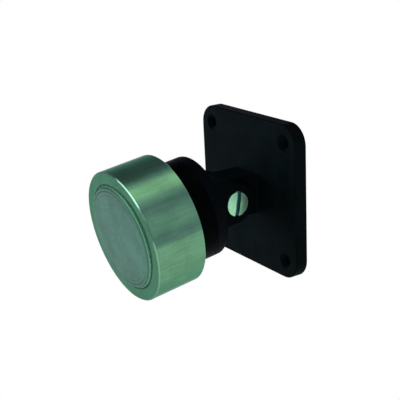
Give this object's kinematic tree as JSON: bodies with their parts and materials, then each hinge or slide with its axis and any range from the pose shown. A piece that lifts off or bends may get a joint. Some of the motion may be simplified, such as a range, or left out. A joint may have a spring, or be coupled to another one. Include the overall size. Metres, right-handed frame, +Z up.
{
  "type": "electromagnetic door holder",
  "caption": "Wall-mounted electromagnetic door holder: round steel magnet with a raised pole face, on a black housing hinged to a square wall plate by a friction fork.",
  "frame": {"origin": "centre of the wall plate's back face, which lies on the wall", "axes": "+Z up, +Y into the wall, -Y out from the wall, X along the hinge screw"},
  "size_m": [0.065, 0.0706, 0.0657],
  "materials": {
    "black_moulding": "fine spark-eroded texture, dusty black",
    "black_moulding_head": "fine spark-eroded texture, dusty black",
    "black_smooth": "smooth semi-matte black",
    "brass_turned": "turned",
    "washer_plastic": "natural, satin",
    "plated_screw": "bright zinc plate",
    "dark_screw": "dark phosphate",
    "grommet_rubber": "soft matte",
    "turned_steel": "fine-turned and plated, faint ring marks",
    "turned_steel_face": "ground and plated",
    "bobbin_plastic": "natural moulding",
    "winding_copper": "enamelled copper wire",
    "dark_resin": "cast, satin",
    "lead_red": "flexible insulation",
    "lead_black": "flexible insulation",
    "block_plastic": "moulded",
    "diode_body": "moulded, with tinned wires"
  },
  "bodies": {
    "base": {"base_plate": "black_moulding", "pivot_bush": "brass_turned"},
    "head": {"swivel_fork": "black_moulding_head", "friction_washer_right": "washer_plastic", "friction_washer_left": "washer_plastic", "pivot_screw": "plated_screw", "pivot_nut": "plated_screw", "rear_housing": "black_smooth", "cable_grommet": "grommet_rubber", "flange_screws": "dark_screw", "magnet_pot": "turned_steel", "pole_core": "turned_steel_face", "core_screw": "dark_screw", "coil_bobbin": "bobbin_plastic", "coil_winding": "winding_copper", "potting_resin": "dark_resin", "coil_lead_right": "lead_red", "coil_lead_left": "lead_black", "terminal_block": "block_plastic", "terminal_clamps": "brass_turned", "terminal_screws": "plated_screw", "suppression_diode": "diode_body"}
  },
  "joints": [
    {"name": "head_tilt", "type": "hinge", "parent": "base", "child": "head", "pos_m": [0, -0.02, 0], "axis": [1, 0, 0], "range_deg": [-68, 52]}
  ]
}
